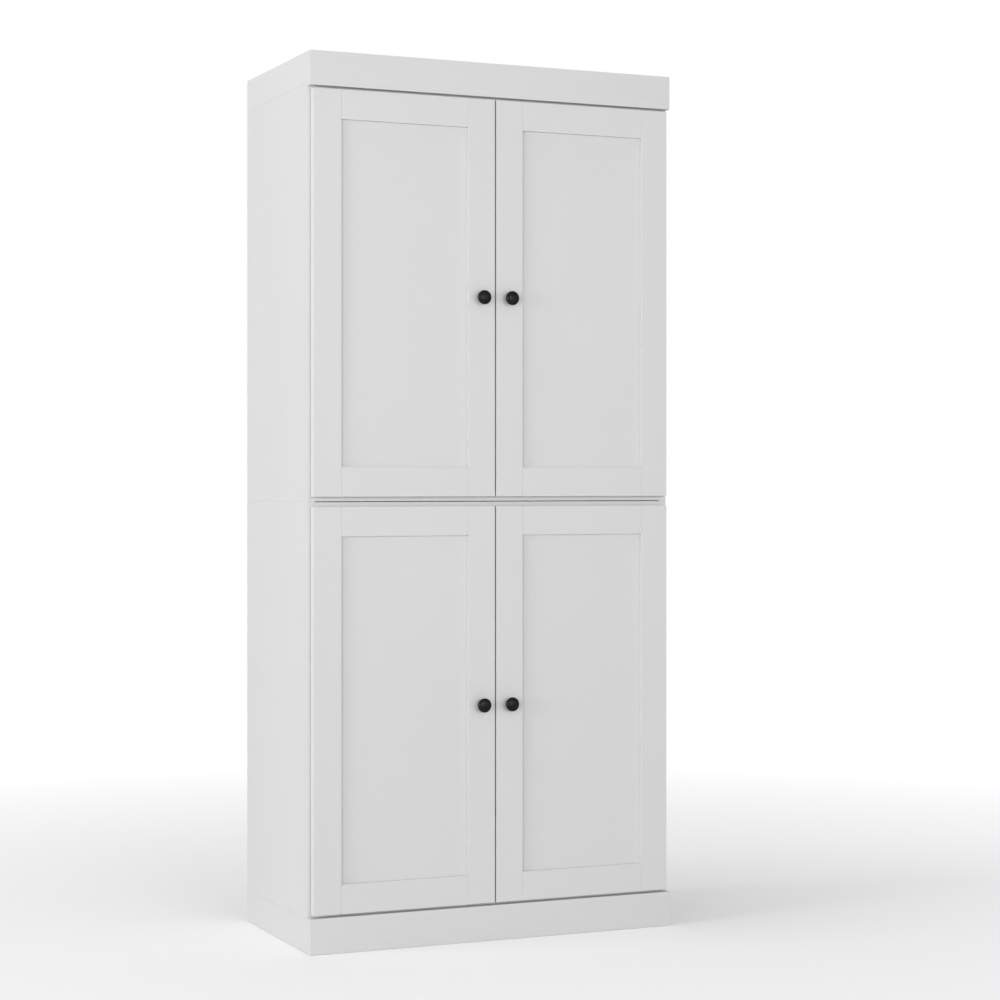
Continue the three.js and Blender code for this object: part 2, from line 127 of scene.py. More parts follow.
# Fittings
BUMPER_RADIUS = 4 * MM
BUMPER_THICKNESS = 1.3 * MM
BUMPER_INSET = (14 * MM, 5 * MM)  # from the door's meeting edge and from its end
BOLT_HEAD = (7.5 * MM, 1.6 * MM)
BOLT_FROM_SIDE = 70 * MM
BOLT_FROM_EDGE = 60 * MM
CAM_FROM_SIDE = 34 * MM
REAR_RAIL_THICKNESS = 16 * MM
CORNER_BLOCK_LEG = 34 * MM
CORNER_BLOCK_TOE = 5 * MM
CORNER_BLOCK_HEIGHT = 44 * MM
CORNER_BLOCK_EDGE = 0.6 * MM
CAP_EDGE = 0.6 * MM
CAM_EDGE = 0.2 * MM

# ---------------------------------------------------------------- the photograph's camera

CAMERA_PLACE = Vector((-1.946, -4.649, 0.937))
CAMERA_YAW = math.radians(23.695)
CAMERA_LENS = 85.7
CAMERA_SENSOR = 36
CAMERA_SHIFT_Y = -0.0186
CAMERA_REACH = 200


def make_camera():
    data = bpy.data.cameras.new("camera")
    data.lens = CAMERA_LENS
    data.sensor_width = CAMERA_SENSOR
    data.shift_y = CAMERA_SHIFT_Y
    data.clip_end = CAMERA_REACH
    camera = bpy.data.objects.new("camera", data)
    camera.location = CAMERA_PLACE
    camera.rotation_euler = (math.radians(90), 0, -CAMERA_YAW)
    bpy.context.scene.collection.objects.link(camera)
    bpy.context.scene.camera = camera


# ---------------------------------------------------------------- studio

FLOOR_HEIGHT = -0.5 * MM  # so that the base keeps a thin dark line where it stands
FLOOR_RADIUS = 60
FLOOR_SEGMENTS = 128
FLOOR_TONE = (0.68, 0.68, 0.68, 1)
FLOOR_GLOW = 0.3  # what the camera sees above the light that falls on the floor
FLOOR_FADE_FROM = 0.5  # how far out the floor starts to turn white
FLOOR_WHITE_FROM = 2.8  # and how far out it is all white
ROOM_LIGHT = 0.44

# The softboxes stand on a sphere round a point in front of the cabinet's middle, and face it:
# azimuth from straight in front and elevation in degrees, width and height in metres, and power.
LIGHTS_AIM = Vector((0, -0.2, 0.9))
LIGHTS_DISTANCE = 8
SOFTBOXES = {
    "front_softbox": (0, 8, 2.5, 2.5, 150),
    "right_front_softbox": (30, 5, 2.5, 2.5, 40),
    "left_front_softbox": (-45, 5, 2.5, 2, 130),
    "left_softbox": (-75, 2, 2.5, 2, 172),
    "side_softbox": (-95, 1, 2.5, 2, 85),
    "high_softbox": (-90, 60, 2.5, 2.5, 125),
}


def make_lights():
    for name, (azimuth, elevation, width, height, power) in SOFTBOXES.items():
        turn, lift = math.radians(azimuth), math.radians(elevation)
        level = math.cos(lift)
        towards = Vector((level * math.sin(turn), -level * math.cos(turn), math.sin(lift)))
        data = bpy.data.lights.new(name, "AREA")
        data.shape = "RECTANGLE"
        data.size = width
        data.size_y = height
        data.energy = power
        light = bpy.data.objects.new(name, data)
        light.location = LIGHTS_AIM + LIGHTS_DISTANCE * towards
        light.rotation_euler = (-towards).to_track_quat("-Z", "Y").to_euler()
        light.visible_camera = False
        bpy.context.scene.collection.objects.link(light)


# A white room: the backdrop that the camera sees is pure white, and the light is weaker.
def make_world():
    world = bpy.data.worlds.new("studio")
    world.use_nodes = True
    tree = world.node_tree
    tree.nodes.clear()
    output = tree.nodes.new("ShaderNodeOutputWorld")
    light = tree.nodes.new("ShaderNodeBackground")
    light.inputs["Color"].default_value = (1, 1, 1, 1)
    light.inputs["Strength"].default_value = ROOM_LIGHT
    backdrop = tree.nodes.new("ShaderNodeBackground")
    backdrop.inputs["Color"].default_value = (1, 1, 1, 1)
    rays = tree.nodes.new("ShaderNodeLightPath")
    mix = tree.nodes.new("ShaderNodeMixShader")
    tree.links.new(rays.outputs["Is Camera Ray"], mix.inputs["Fac"])
    tree.links.new(light.outputs[0], mix.inputs[1])
    tree.links.new(backdrop.outputs[0], mix.inputs[2])
    tree.links.new(mix.outputs[0], output.inputs["Surface"])
    bpy.context.scene.world = world
    bpy.context.scene.view_settings.view_transform = "Standard"


# Pale, with soft shadows, and turning into the white of the backdrop further away. Its glow is only
# seen: it throws no light up at the cabinet.
def floor_material():
    material = bpy.data.materials.new("floor")
    material.use_nodes = True
    tree = material.node_tree
    tree.nodes.clear()
    output = tree.nodes.new("ShaderNodeOutputMaterial")
    rays = tree.nodes.new("ShaderNodeLightPath")
    near = tree.nodes.new("ShaderNodeBsdfDiffuse")
    near.inputs["Color"].default_value = FLOOR_TONE
    glow = tree.nodes.new("ShaderNodeEmission")
    seen_glow = math_node(tree, "MULTIPLY", rays.outputs["Is Camera Ray"], FLOOR_GLOW)
    tree.links.new(seen_glow, glow.inputs["Strength"])
    glowing = tree.nodes.new("ShaderNodeAddShader")
    tree.links.new(near.outputs[0], glowing.inputs[0])
    tree.links.new(glow.outputs[0], glowing.inputs[1])
    far = tree.nodes.new("ShaderNodeEmission")
    coords = tree.nodes.new("ShaderNodeTexCoord")
    distance = tree.nodes.new("ShaderNodeVectorMath")
    distance.operation = "LENGTH"
    tree.links.new(coords.outputs["Object"], distance.inputs[0])
    share = mapped(tree, distance.outputs["Value"], 0, 1, FLOOR_FADE_FROM, FLOOR_WHITE_FROM)
    seen_share = math_node(tree, "MULTIPLY", rays.outputs["Is Camera Ray"], share)
    mix = tree.nodes.new("ShaderNodeMixShader")
    tree.links.new(seen_share, mix.inputs["Fac"])
    tree.links.new(glowing.outputs[0], mix.inputs[1])
    tree.links.new(far.outputs[0], mix.inputs[2])
    tree.links.new(mix.outputs[0], output.inputs["Surface"])
    return material


def make_floor():
    build = bmesh.new()
    bmesh.ops.create_circle(build, cap_ends=True, segments=FLOOR_SEGMENTS, radius=FLOOR_RADIUS)
    floor = linked_object("floor", build)
    floor.location.z = FLOOR_HEIGHT
    floor.data.materials.append(floor_material())


# ---------------------------------------------------------------- mesh helpers


def linked_object(name, build):
    mesh = bpy.data.meshes.new(name)
    build.to_mesh(mesh)
    build.free()
    made = bpy.data.objects.new(name, mesh)
    bpy.context.scene.collection.objects.link(made)
    return made


# A piece of the object: it takes its material, rides on a body, and carries the given name.
def piece(name, build, material, body):
    made = linked_object(name, build)
    made.data.materials.append(material)
    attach(made, body)
    return made


ON_AXIS = 0.001 * MM  # a smaller radius counts as a point on the axis


# A turned solid about Z from (radius, height) points that start and end on the axis.
def turned(profile, segments):
    build = bmesh.new()
    angles = [2 * math.pi * i / segments for i in range(segments)]
    rings = []
    for radius, height in profile:
        if radius < ON_AXIS:
            places = [(0, 0, height)]
        else:
            places = [(radius * math.cos(a), radius * math.sin(a), height) for a in angles]
        rings.append([build.verts.new(place) for place in places])
    for lower, upper in zip(rings, rings[1:]):
        for i in range(segments):
            j = (i + 1) % segments
            below = [lower[i % len(lower)], lower[j % len(lower)]]
            above = [upper[j % len(upper)], upper[i % len(upper)]]
            build.faces.new(list(dict.fromkeys(below + above)))
    bmesh.ops.recalc_face_normals(build, faces=build.faces)
    return build


# Points along an arc, in degrees, from its first angle to its last.
def arc(x, y, radius_x, radius_y, first, last, steps):
    angles = [math.radians(first + (last - first) * i / steps) for i in range(steps + 1)]
    return [(x + radius_x * math.cos(a), y + radius_y * math.sin(a)) for a in angles]


# The rounded rim of a turned end, from its side to its top.
def rim(radius, height, edge, steps=4):
    return arc(radius - edge, height - edge, edge, edge, 0, 90, steps)


# Points along a cubic curve from a to d, drawn towards b and c.
def curve(a, b, c, d, steps):
    points = []
    for i in range(steps + 1):
        t = i / steps
        weights = ((1 - t) ** 3, 3 * t * (1 - t) ** 2, 3 * t * t * (1 - t), t**3)
        weighted = [(w * x, w * y) for w, (x, y) in zip(weights, (a, b, c, d))]
        points.append((sum(x for x, y in weighted), sum(y for x, y in weighted)))
    return points


# The solid with all of its edges rounded, its faces turned outwards.
def rounded(build, edge, segments=2):
    edges = build.edges[:]
    bmesh.ops.bevel(build, geom=edges, offset=edge, segments=segments, profile=0.5, affect="EDGES")
    bmesh.ops.recalc_face_normals(build, faces=build.faces)
    return build


# A box between two corners.
def block(low, high):
    build = bmesh.new()
    bmesh.ops.create_cube(build, size=1)
    size = Vector(high) - Vector(low)
    middle = (Vector(high) + Vector(low)) / 2
    matrix = Matrix.Translation(middle) @ Matrix.Diagonal((*size, 1))
    bmesh.ops.transform(build, matrix=matrix, verts=build.verts)
    return build


# A prism: its outline's points, put in their places by a function of (a, b, end) for both ends.
def prism(outline, ends, placed):
    build = bmesh.new()
    near, far = ([build.verts.new(placed(a, b, end)) for a, b in outline] for end in ends)
    build.faces.new(near)
    build.faces.new(far)
    for i in range(len(outline)):
        j = (i + 1) % len(outline)
        build.faces.new((near[i], near[j], far[j], far[i]))
    bmesh.ops.recalc_face_normals(build, faces=build.faces)
    return build


# Adds copies of a mesh, one for each matrix, to one new mesh.
def repeated(source, matrices):
    build = bmesh.new()
    for matrix in matrices:
        first = len(build.verts)
        build.from_mesh(source)
        build.verts.ensure_lookup_table()
        bmesh.ops.transform(build, matrix=matrix, verts=build.verts[first:])
    return build


def mesh_of(name, build):
    mesh = bpy.data.meshes.new(name)
    build.to_mesh(mesh)
    build.free()
    return mesh


# A turn that takes Z to the given direction, at a place.
def facing(place, direction):
    return Matrix.Translation(place) @ Vector(direction).to_track_quat("Z", "X").to_matrix().to_4x4()


# A mesh with other meshes cut away from it.
def carved(build, cutters):
    body = linked_object("carved_body", build)
    tools = [linked_object("carving_tool", cutter) for cutter in cutters]
    for tool in tools:
        cut = body.modifiers.new("cut", "BOOLEAN")
        cut.operation = "DIFFERENCE"
        cut.solver = "EXACT"
        cut.object = tool
    bpy.context.view_layer.update()
    result = bmesh.new()
    result.from_object(body, bpy.context.evaluated_depsgraph_get())
    for made in (body, *tools):
        bpy.data.objects.remove(made)
    return result


# Smooth faces, apart from edges that turn by more than a crease's angle in degrees.
def smoothed(build, crease=35):
    for face in build.faces:
        face.smooth = True
    for edge in build.edges:
        edge.smooth = len(edge.link_faces) != 2 or edge.calc_face_angle() < math.radians(crease)
    return build


# ---------------------------------------------------------------- material helpers


def fresh_material(name):
    material = bpy.data.materials.new(name)
    material.use_nodes = True
    tree = material.node_tree
    tree.nodes.clear()
    output = tree.nodes.new("ShaderNodeOutputMaterial")
    shader = tree.nodes.new("ShaderNodeBsdfPrincipled")
    tree.links.new(shader.outputs["BSDF"], output.inputs["Surface"])
    return material, tree, shader


# Noise in the object's own coordinates, in features per metre along each axis.
def noise(tree, per_metre, detail=2.0, roughness=0.5):
    coords = tree.nodes.new("ShaderNodeTexCoord")
    stretch = tree.nodes.new("ShaderNodeMapping")
    stretch.inputs["Scale"].default_value = per_metre
    texture = tree.nodes.new("ShaderNodeTexNoise")
    texture.inputs["Scale"].default_value = 1.0
    texture.inputs["Detail"].default_value = detail
    texture.inputs["Roughness"].default_value = roughness
    tree.links.new(coords.outputs["Object"], stretch.inputs["Vector"])
    tree.links.new(stretch.outputs["Vector"], texture.inputs["Vector"])
    return texture.outputs["Fac"]


def mapped(tree, value, low, high, from_low=0.3, from_high=0.7):
    node = tree.nodes.new("ShaderNodeMapRange")
    node.inputs["From Min"].default_value = from_low
    node.inputs["From Max"].default_value = from_high
    node.inputs["To Min"].default_value = low
    node.inputs["To Max"].default_value = high
    tree.links.new(value, node.inputs["Value"])
    return node.outputs["Result"]


def blended(tree, share, colour_a, colour_b):
    node = tree.nodes.new("ShaderNodeMix")
    node.data_type = "RGBA"
    for name, colour in (("A", colour_a), ("B", colour_b)):
        socket = next(s for s in node.inputs if s.name == name and s.type == "RGBA")
        if isinstance(colour, tuple):
            socket.default_value = (*colour, 1)
        else:
            tree.links.new(colour, socket)
    tree.links.new(share, node.inputs["Factor"])
    return next(s for s in node.outputs if s.type == "RGBA")


def math_node(tree, operation, a, b):
    node = tree.nodes.new("ShaderNodeMath")
    node.operation = operation
    for socket, value in zip(node.inputs, (a, b)):
        if isinstance(value, (int, float)):
            socket.default_value = value
        else:
            tree.links.new(value, socket)
    return node.outputs[0]


def bumped(tree, shader, height, distance):
    node = tree.nodes.new("ShaderNodeBump")
    node.inputs["Distance"].default_value = distance
    tree.links.new(height, node.inputs["Height"])
    tree.links.new(node.outputs["Normal"], shader.inputs["Normal"])


SHADING_SAMPLES = 4


# 1 along the edges of the piece and 0 elsewhere, within a distance of the edge.
def edge_share(tree, distance):
    bevel = tree.nodes.new("ShaderNodeBevel")
    bevel.samples = SHADING_SAMPLES
    bevel.inputs["Radius"].default_value = distance
    geometry = tree.nodes.new("ShaderNodeNewGeometry")
    facing_same = tree.nodes.new("ShaderNodeVectorMath")
    facing_same.operation = "DOT_PRODUCT"
    tree.links.new(bevel.outputs["Normal"], facing_same.inputs[0])
    tree.links.new(geometry.outputs["Normal"], facing_same.inputs[1])
    return mapped(tree, facing_same.outputs["Value"], 0, 1, 0.995, 0.8)


# 1 where other surfaces lie within a distance, as in the joints between boards and in inside
# corners, and 0 in the open: the mask of a painted shade.
def occlusion_shade_share(tree, distance):
    shading = tree.nodes.new("ShaderNodeAmbientOcclusion")
    shading.samples = SHADING_SAMPLES
    shading.inputs["Distance"].default_value = distance
    return mapped(tree, shading.outputs["AO"], 0, 1, 0.95, 0.5)


def times(colour, factor):
    return tuple(factor * c for c in colour)


# Noise features per metre for a pattern that runs along one axis (0, 1 or 2).
def running_along(axis, along, across):
    return tuple(along if i == axis else across for i in range(3))


# ---------------------------------------------------------------- materials

WHITE = (0.672, 0.672, 0.672)
BLACK = (0.008, 0.008, 0.008)
NICKEL = (0.66, 0.66, 0.65)
BUMPER_GREY = (0.61, 0.61, 0.60)
WORN_WHITE = 1.03  # worn edges, as a share of the white
JOINT_PAINTED_SHADE = 0.8  # painted shade in the case's joints and inside corners, as a share of the white
RETURN_JOINT_PAINTED_SHADE = 0.45  # painted shade in the joints of the base's and crown's returns, as a share of the white
SCREEN_TURNS = 2 * math.pi / (1.6 * MM)  # radians per metre for the hardboard's screen print


# White laminate with a faint embossed grain along one axis (0, 1 or 2). Its joints and inside
# corners get a painted shade, as a share of the white, wherever other surfaces lie near.
def laminate(name, axis, joint_shade_tone):
    material, tree, shader = fresh_material(name)
    clouds = noise(tree, running_along(axis, 1.5, 6), detail=3)
    grain = noise(tree, running_along(axis, 9, 520), detail=3, roughness=0.6)
    pores = noise(tree, (1500, 1500, 1500), detail=1)
    tint = mapped(tree, math_node(tree, "ADD", clouds, grain), 0, 1, 0.75, 1.25)
    face = blended(tree, tint, times(WHITE, 0.982), times(WHITE, 1.008))
    worn = math_node(tree, "MULTIPLY", edge_share(tree, 0.9 * MM), 0.5)
    edged = blended(tree, worn, face, times(WHITE, WORN_WHITE))
    # painted shade in the joints and inside corners, within 1.5 mm of other surfaces
    joint_shaded = blended(tree, occlusion_shade_share(tree, 1.5 * MM), edged, times(WHITE, joint_shade_tone))
    tree.links.new(joint_shaded, shader.inputs["Base Color"])
    polish = math_node(tree, "MULTIPLY", worn, 0.12)
    rough = math_node(tree, "SUBTRACT", mapped(tree, grain, 0.44, 0.56), polish)
    tree.links.new(rough, shader.inputs["Roughness"])
    relief = math_node(tree, "ADD", grain, math_node(tree, "MULTIPLY", pores, 0.5))
    bumped(tree, shader, relief, 0.03 * MM)
    shader.inputs["Specular IOR Level"].default_value = 0.35
    return material


# White satin lacquer with a fine orange peel.
def lacquer(name):
    material, tree, shader = fresh_material(name)
    clouds = noise(tree, (4, 4, 2.5), detail=3)
    peel = noise(tree, (380, 380, 380), detail=2)
    dust = noise(tree, (2400, 2400, 2400), detail=1)
    face = blended(tree, mapped(tree, clouds, 0, 1), times(WHITE, 0.99), times(WHITE, 1.006))
    worn = math_node(tree, "MULTIPLY", edge_share(tree, 1.2 * MM), 0.5)
    tree.links.new(blended(tree, worn, face, times(WHITE, WORN_WHITE)), shader.inputs["Base Color"])
    polish = math_node(tree, "MULTIPLY", worn, 0.1)
    rough = math_node(tree, "SUBTRACT", mapped(tree, peel, 0.38, 0.47), polish)
    tree.links.new(rough, shader.inputs["Roughness"])
    relief = math_node(tree, "ADD", peel, math_node(tree, "MULTIPLY", dust, 0.3))
    bumped(tree, shader, relief, 0.02 * MM)
    shader.inputs["Specular IOR Level"].default_value = 0.4
    return material


# Hardboard with a white face. Its rough side, which faces back, keeps the fine square print of the
# screen that it was pressed on.
def hardboard():
    material, tree, shader = fresh_material("white_hardboard")
    coords = tree.nodes.new("ShaderNodeTexCoord")
    place = tree.nodes.new("ShaderNodeSeparateXYZ")
    direction = tree.nodes.new("ShaderNodeSeparateXYZ")
    tree.links.new(coords.outputs["Object"], place.inputs[0])
    tree.links.new(coords.outputs["Normal"], direction.inputs[0])
    wires = [
        math_node(tree, "SINE", math_node(tree, "MULTIPLY", place.outputs[axis], SCREEN_TURNS), 0)
        for axis in ("X", "Z")
    ]
    screen = math_node(tree, "MAXIMUM", *wires)
    rear = mapped(tree, direction.outputs["Y"], 0, 1, 0.4, 0.6)
    fibres = noise(tree, (260, 260, 260), detail=4, roughness=0.7)
    clouds = noise(tree, (3, 3, 3), detail=3)
    front_face = blended(tree, mapped(tree, clouds, 0, 1), times(WHITE, 0.985), WHITE)
    rear_face = blended(tree, mapped(tree, fibres, 0, 1), times(WHITE, 0.9), times(WHITE, 0.98))
    tree.links.new(blended(tree, rear, front_face, rear_face), shader.inputs["Base Color"])
    tree.links.new(mapped(tree, rear, 0.5, 0.75, 0, 1), shader.inputs["Roughness"])
    relief = math_node(tree, "MULTIPLY", math_node(tree, "ADD", screen, fibres), rear)
    bumped(tree, shader, relief, 0.08 * MM)
    shader.inputs["Specular IOR Level"].default_value = 0.3
    return material


# Black satin enamel, with the least wear on the rim that hands touch.
def black_enamel():
    material, tree, shader = fresh_material("black_enamel")
    peel = noise(tree, (900, 900, 900), detail=3)
    clouds = noise(tree, (120, 120, 120), detail=3)
    face = blended(tree, mapped(tree, clouds, 0, 1), times(BLACK, 0.8), times(BLACK, 1.2))
    worn = math_node(tree, "MULTIPLY", edge_share(tree, 1.5 * MM), mapped(tree, peel, 0.0, 0.5))
    tree.links.new(blended(tree, worn, face, times(BLACK, 3)), shader.inputs["Base Color"])
    tree.links.new(mapped(tree, clouds, 0.30, 0.38), shader.inputs["Roughness"])
    bumped(tree, shader, peel, 0.03 * MM)
    shader.inputs["Specular IOR Level"].default_value = 0.19
    return material


# Nickel-plated pressed steel, drawn along one axis.
def nickel(name, axis):
    material, tree, shader = fresh_material(name)
    lines = noise(tree, running_along(axis, 60, 1800), detail=2)
    clouds = noise(tree, (150, 150, 150), detail=3)
    face = blended(tree, mapped(tree, clouds, 0, 1), times(NICKEL, 0.92), times(NICKEL, 1.06))
    worn = math_node(tree, "MULTIPLY", edge_share(tree, 0.5 * MM), 0.6)
    tree.links.new(blended(tree, worn, face, times(NICKEL, 1.2)), shader.inputs["Base Color"])
    tree.links.new(mapped(tree, lines, 0.26, 0.4), shader.inputs["Roughness"])
    bumped(tree, shader, lines, 0.01 * MM)
    shader.inputs["Metallic"].default_value = 1
    return material


# Moulded plastic: a little cloudy, or clear enough to let some light through.
def plastic(name, colour, clearness):
    material, tree, shader = fresh_material(name)
    clouds = noise(tree, (300, 300, 300), detail=2)
    face = blended(tree, mapped(tree, clouds, 0, 1), times(colour, 0.96), times(colour, 1.04))
    tree.links.new(face, shader.inputs["Base Color"])
    tree.links.new(mapped(tree, clouds, 0.32, 0.44), shader.inputs["Roughness"])
    bumped(tree, shader, clouds, 0.02 * MM)
    shader.inputs["Transmission Weight"].default_value = clearness
    return material


# ---------------------------------------------------------------- boards


# The CAD board with softened edges, by modifiers alone.
def soften(node, edge, material):
    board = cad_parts[node]
    weld = board.modifiers.new("weld", "WELD")
    weld.merge_threshold = BOARD_WELD
    bevel = board.modifiers.new("bevel", "BEVEL")
    bevel.width = edge
    bevel.segments = 2
    bevel.limit_method = "ANGLE"
    bevel.angle_limit = BOARD_SHARP_FROM
    bevel.loop_slide = False
    board.data.materials.clear()
    board.data.materials.append(material)


def finish_boards(along_x, along_y, along_z, door_lacquer, back):
    for name in ("base", "crown"):
        soften(f"{name}_front_board", CASE_EDGE, along_x)
        for side in SIDES:
            soften(f"{name}_{side}_return", CASE_EDGE, along_y)
    for level in LEVELS:
        for side in SIDES:
            soften(f"{level}_{side}_side_panel", CASE_EDGE, along_z)
            for part in ("hinge_stile", "meeting_stile", "top_rail", "bottom_rail", "panel"):
                soften(f"{level}_{side}_door_{part}", DOOR_EDGE, door_lacquer)
        for part in ("bottom_panel", "top_panel"):
            soften(f"{level}_{part}", CASE_EDGE, along_x)
        for part in ("shelf_1", "shelf_2"):
            soften(f"{level}_{part}", SHELF_EDGE, along_x)
        soften(f"{level}_back_panel", BACK_EDGE, back)


# The rail that closes the base at the back, between the returns.
def base_rear_rail(material):
    low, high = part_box("base_left_return")
    right_low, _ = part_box("base_right_return")
    rail = block((high.x, high.y - REAR_RAIL_THICKNESS, low.z), (right_low.x, high.y, high.z))
    piece("base_rear_rail", rounded(rail, CASE_EDGE), material, "cabinet")


# ---------------------------------------------------------------- small fittings


# The two bars that cut a cross recess from a floor up into a round head.
def cross(shares, radius, floor, top):
    half_length, half_width = (share * radius for share in shares)
    bars = ((half_length, half_width), (half_width, half_length))
    return [rounded(block((-x, -y, floor), (x, y, top)), RECESS_EDGE, 1) for x, y in bars]


# A pan head with a cross recess. Its underside is at zero and it faces +Z.
def screw_mesh(name, head_radius, head_height):
    shank_radius = SCREW_SHANK * head_radius
    rim_height = SCREW_RIM * head_height
    dome = [(r, max(h, rim_height)) for r, h in arc(0, 0, head_radius, head_height, 0, 90, 10)]
    shank = [(0, -head_height), (shank_radius, -head_height), (shank_radius, 0), (head_radius, 0)]
    head = turned([*shank, *dome[:-1], (0, head_height)], FITTING_SEGMENTS)
    floor = SCREW_RECESS_FLOOR * head_height
    recess = cross(SCREW_RECESS, head_radius, floor, 2 * head_height)
    return mesh_of(name, smoothed(carved(head, recess)))


# A plain round pin with a collar that rests on the side panel. It points along +Z out of the wood.
def pin_mesh():
    nose = rim(PIN_RADIUS, PIN_SHOWING, PIN_NOSE_EDGE)
    collar = rim(PIN_COLLAR_RADIUS, PIN_COLLAR_THICKNESS, PIN_COLLAR_EDGE)
    shank = [(0, -PIN_IN_WOOD), (PIN_RADIUS, -PIN_IN_WOOD), (PIN_RADIUS, 0), (PIN_COLLAR_RADIUS, 0)]
    profile = [*shank, *collar, (PIN_RADIUS, PIN_COLLAR_THICKNESS), *nose, (0, PIN_SHOWING)]
    return mesh_of("shelf_pin", smoothed(turned(profile, PIN_SEGMENTS)))


def shelf_pins(material):
    pin = pin_mesh()
    for level in LEVELS:
        case_low, case_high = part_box(f"{level}_left_side_panel")
        rows = (case_low.y + PIN_FROM_CASE_FRONT, case_high.y - PIN_FROM_CASE_REAR)
        for shelf in ("shelf_1", "shelf_2"):
            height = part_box(f"{level}_{shelf}")[0].z - PIN_BELOW_SHELF
            places = []
            for side, inner in (("left", case_high.x), ("right", -case_high.x)):
                inwards = (HAND[side], 0, 0)
                places += [facing((inner, y, height), inwards) for y in rows]
            piece(f"{level}_{shelf}_pins", repeated(pin, places), material, "cabinet")


# A low round cap with a softened rim. It faces +Z.
def cap(radius, height, edge):
    profile = [(0, -height), (radius, -height), *rim(radius, height, edge), (0, height)]
    return turned(profile, FITTING_SEGMENTS)


# Connecting bolts between the two cases: a head above the upper case's floor, and a sleeve nut's
# head below the lower case's ceiling.
def case_bolts(material, screw):
    head = mesh_of("bolt_head", smoothed(cap(*BOLT_HEAD, CAP_EDGE)))
    low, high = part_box("lower_top_panel")
    floor_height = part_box("upper_bottom_panel")[1].z
    xs = (low.x + BOLT_FROM_SIDE, high.x - BOLT_FROM_SIDE)
    ys = (low.y + BOLT_FROM_EDGE, high.y - BOLT_FROM_EDGE)
    for name, height, up in (("upper_case_bolts", floor_height, 1), ("lower_case_nuts", low.z, -1)):
        places = [facing((x, y, height), (0, 0, up)) for x in xs for y in ys]
        drives = [facing((x, y, height + up * BOLT_HEAD[1]), (0, 0, up)) for x in xs for y in ys]
        build = repeated(head, places)
        build.from_mesh(mesh_of(name, repeated(screw, drives)))
        piece(name, build, material, "cabinet")


# The cams that pull the upper case's top panel to its side panels, set in its top face, each with
# a cross recess.
def top_cams(material):
    radius, height = CAM_HEAD
    recess = cross(CAM_RECESS, radius, 0, 2 * height)
    cam = mesh_of("cam", smoothed(carved(cap(radius, height, CAM_EDGE), recess)))
    low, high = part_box("upper_top_panel")
    xs = (low.x + CAM_FROM_SIDE, high.x - CAM_FROM_SIDE)
    ys = (low.y + BOLT_FROM_EDGE, high.y - BOLT_FROM_EDGE)
    build = repeated(cam, [facing((x, y, high.z), (0, 0, 1)) for x in xs for y in ys])
    piece("upper_top_panel_cams", build, material, "cabinet")


# ---------------------------------------------------------------- corner blocks


# A three-cornered block that ties a front board to a return, with two screws through its slope.
def corner_block(name, corner, inwards, material, screw, steel):
    leg, toe = CORNER_BLOCK_LEG, CORNER_BLOCK_TOE
    half = CORNER_BLOCK_HEIGHT / 2

    def at(x, y, z):
        return corner + Vector((inwards * x, y, z))

    build = prism([(0, 0), (leg, 0), (leg, toe), (toe, leg), (0, leg)], (-half, half), at)
    piece(f"{name}_corner_block", rounded(build, CORNER_BLOCK_EDGE), material, "cabinet")
    slope = (inwards, 1, 0)
    middle = (leg + toe) / 2
    places = [facing(at(middle, middle, z), slope) for z in (-half / 2, half / 2)]
    piece(f"{name}_block_screws", repeated(screw, places), steel, "cabinet")


def corner_blocks(material, screw, steel):
    for name in ("base", "crown"):
        for side in SIDES:
            low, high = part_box(f"{name}_{side}_return")
            inner = high.x if side == "left" else low.x
            corner = Vector((inner, low.y, (low.z + high.z) / 2))
            corner_block(f"{name}_{side}", corner, HAND[side], material, screw, steel)


# ---------------------------------------------------------------- knobs


# A thin foot, a waisted neck and a domed head.
def knob_mesh(head_radius, projection):
    head_middle = (KNOB_HEAD_FROM + projection) / 2
    under = KNOB_HEAD_FROM + KNOB_UNDERSIDE_DROP
    foot = rim(KNOB_FOOT_RADIUS, KNOB_FOOT_THICKNESS, KNOB_FOOT_EDGE)
    waist = KNOB_NECK_RADIUS
    neck = curve(
        (waist + KNOB_NECK_SPREAD, KNOB_FOOT_THICKNESS),
        (waist, KNOB_FOOT_THICKNESS + KNOB_NECK_FILLET),
        (waist - KNOB_NECK_WAIST, KNOB_NECK_FROM),
        (waist + KNOB_NECK_WAIST, KNOB_NECK_FROM + KNOB_NECK_LENGTH),
        KNOB_CURVE_STEPS,
    )
    flare = curve(
        neck[-1],
        (waist + KNOB_FLARE, KNOB_HEAD_FROM),
        (0.6 * head_radius, under),
        (0.74 * head_radius, under),
        KNOB_CURVE_STEPS,
    )
    edge = curve(
        flare[-1],
        (0.93 * head_radius, under),
        (head_radius, under + 0.3 * (head_middle - under)),
        (head_radius, head_middle),
        KNOB_CURVE_STEPS,
    )
    dome = arc(0, head_middle, head_radius, projection - head_middle, 0, 90, KNOB_DOME_STEPS)
    back = [(0, 0), (KNOB_FOOT_RADIUS, 0), *foot, *neck, *flare[1:]]
    profile = [*back, *edge[1:], *dome[1:-1], (0, projection)]
    return mesh_of("knob", smoothed(turned(profile, KNOB_SEGMENTS), KNOB_CREASE))


def knobs(enamel, steel, screw):
    low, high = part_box("lower_left_door_knob")
    mesh = knob_mesh((high.z - low.z) / 2, high.y - low.y)
    for level in LEVELS:
        for side in SIDES:
            door = f"{level}_{side}_door"
            low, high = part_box(f"{door}_knob")
            seat = Vector(((low.x + high.x) / 2, high.y, (low.z + high.z) / 2))
            build = repeated(mesh, [facing(seat, (0, -1, 0))])
            knob = piece(f"{door}_turned_knob", build, enamel, door)
            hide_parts(f"{door}_knob")
            back = Vector((seat.x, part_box(f"{door}_meeting_stile")[1].y, seat.z))
            build = repeated(screw, [facing(back, (0, 1, 0))])
            piece(f"{door}_knob_screw", build, steel, door)


